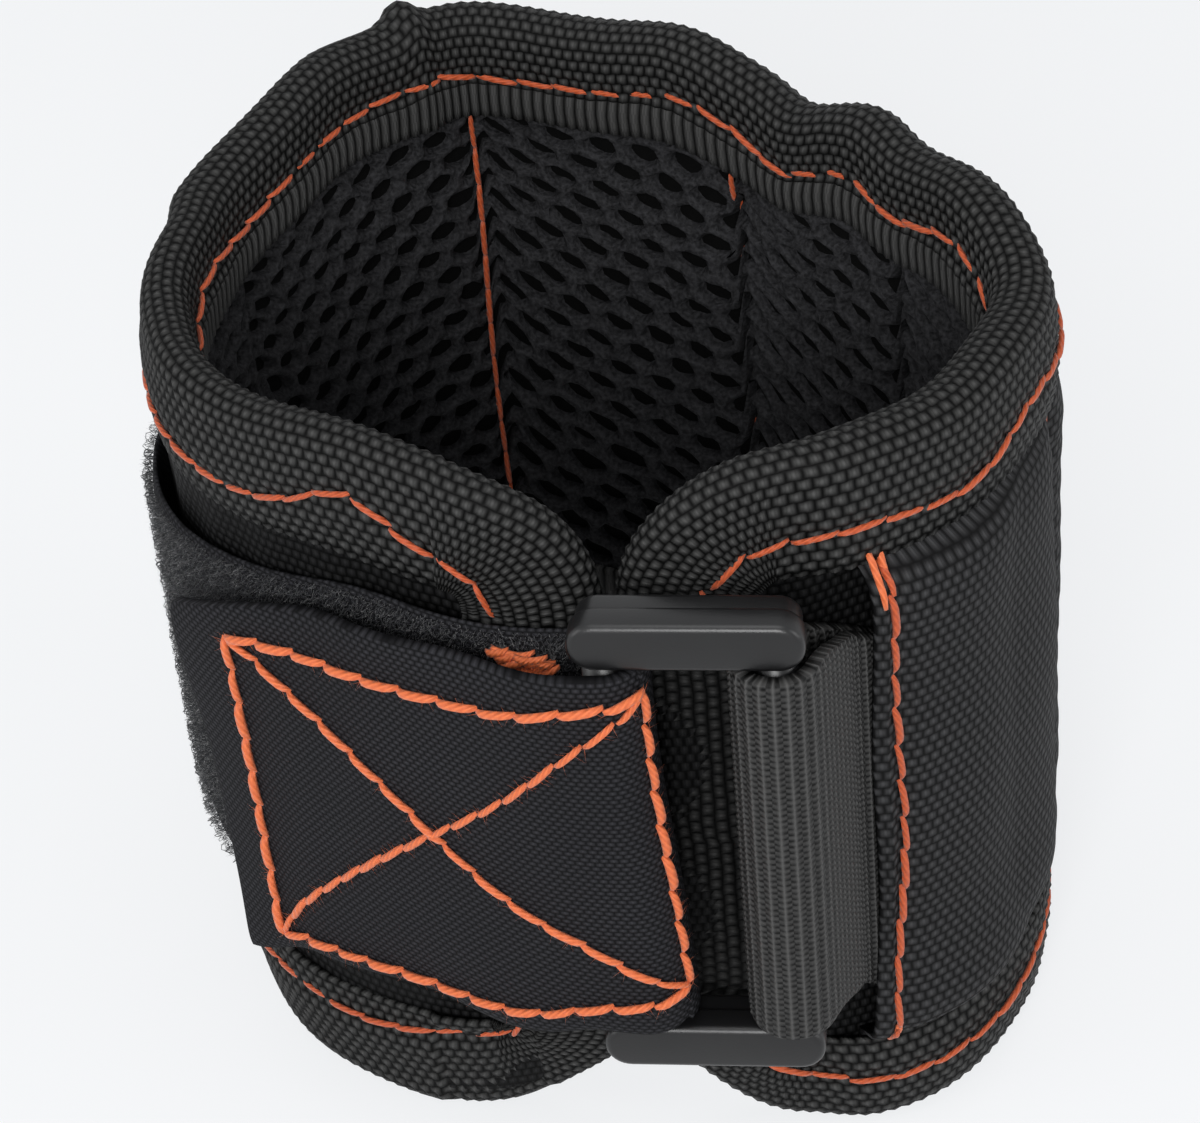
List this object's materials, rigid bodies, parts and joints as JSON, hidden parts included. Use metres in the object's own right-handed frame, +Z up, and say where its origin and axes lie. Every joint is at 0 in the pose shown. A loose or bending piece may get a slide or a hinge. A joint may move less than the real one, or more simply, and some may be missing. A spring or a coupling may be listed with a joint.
{
  "type": "magnetic wristband",
  "caption": "Padded fabric wrist hoop with disc magnets in sewn pockets, a bound edge, and a hook-and-loop strap that runs through a plastic ring on an elastic loop.",
  "frame": {"origin": "on the floor under the middle of the band's box", "axes": "+Z up along the forearm, -Y towards the ring at the front, +X to the right seen from the front"},
  "size_m": [0.0786, 0.0878, 0.075],
  "materials": {
    "shell_fabric": "coarse plain-weave polyester, matt black",
    "mesh_fabric": "black spacer mesh with hexagonal holes",
    "binding_tape": "black woven tape with a slight sheen",
    "loop_tape": "slate-grey loop pile",
    "tab_tape": "finely ribbed black tape",
    "hook_tape": "black moulded hooks",
    "elastic_web": "black ribbed elastic",
    "moulded_plastic": "satin black",
    "magnet_steel": "nickel plated",
    "stitch_thread": "orange polyester thread"
  },
  "bodies": {
    "band_right": {"mesh_lining_right": "mesh_fabric", "backing_panel_right": "shell_fabric", "pocket_panel_right": "shell_fabric", "edge_binding_right": "binding_tape", "elastic_loop": "elastic_web", "magnet_pocket2_row1": "magnet_steel", "magnet_pocket2_row2": "magnet_steel", "magnet_pocket2_row3": "magnet_steel", "magnet_pocket3_row1": "magnet_steel", "magnet_pocket3_row2": "magnet_steel", "magnet_pocket3_row3": "magnet_steel", "magnet_pocket4_row1": "magnet_steel", "magnet_pocket4_row2": "magnet_steel", "magnet_pocket4_row3": "magnet_steel", "magnet_pocket5_row1": "magnet_steel", "magnet_pocket5_row2": "magnet_steel", "magnet_pocket5_row3": "magnet_steel"},
    "band_left": {"mesh_lining_left": "mesh_fabric", "backing_panel_left": "shell_fabric", "pocket_panel_left": "shell_fabric", "edge_binding_left": "binding_tape", "loop_strap": "loop_tape", "strap_bend": "loop_tape", "magnet_pocket1_row1": "magnet_steel", "magnet_pocket1_row2": "magnet_steel", "magnet_pocket1_row3": "magnet_steel"},
    "ring": {"ring": "moulded_plastic"},
    "tab": {"strap_tab": "tab_tape", "hook_pad": "hook_tape"}
  },
  "joints": [
    {"name": "band_flex", "type": "hinge", "parent": "band_right", "child": "band_left", "pos_m": [-0.00898, 0.04424, 0.0375], "axis": [0, 0, -1], "range_deg": [0, 6], "stiffness_Nm_per_rad": 3},
    {"name": "ring_slide", "type": "slide", "parent": "band_right", "child": "ring", "axis": [-0.999, -0.0436, 0], "range_m": [0, 0.0087], "deforming": ["elastic_loop"]},
    {"name": "tab_peel", "type": "hinge", "parent": "band_left", "child": "tab", "pos_m": [-0.00104, -0.03817, 0.0426], "axis": [0, 0, 1], "range_deg": [0, 110], "deforming": ["strap_bend"]}
  ],
  "couplings": [
    {"joint": "ring_slide", "follows": "band_flex", "m_per_rad": 0.082755}
  ]
}
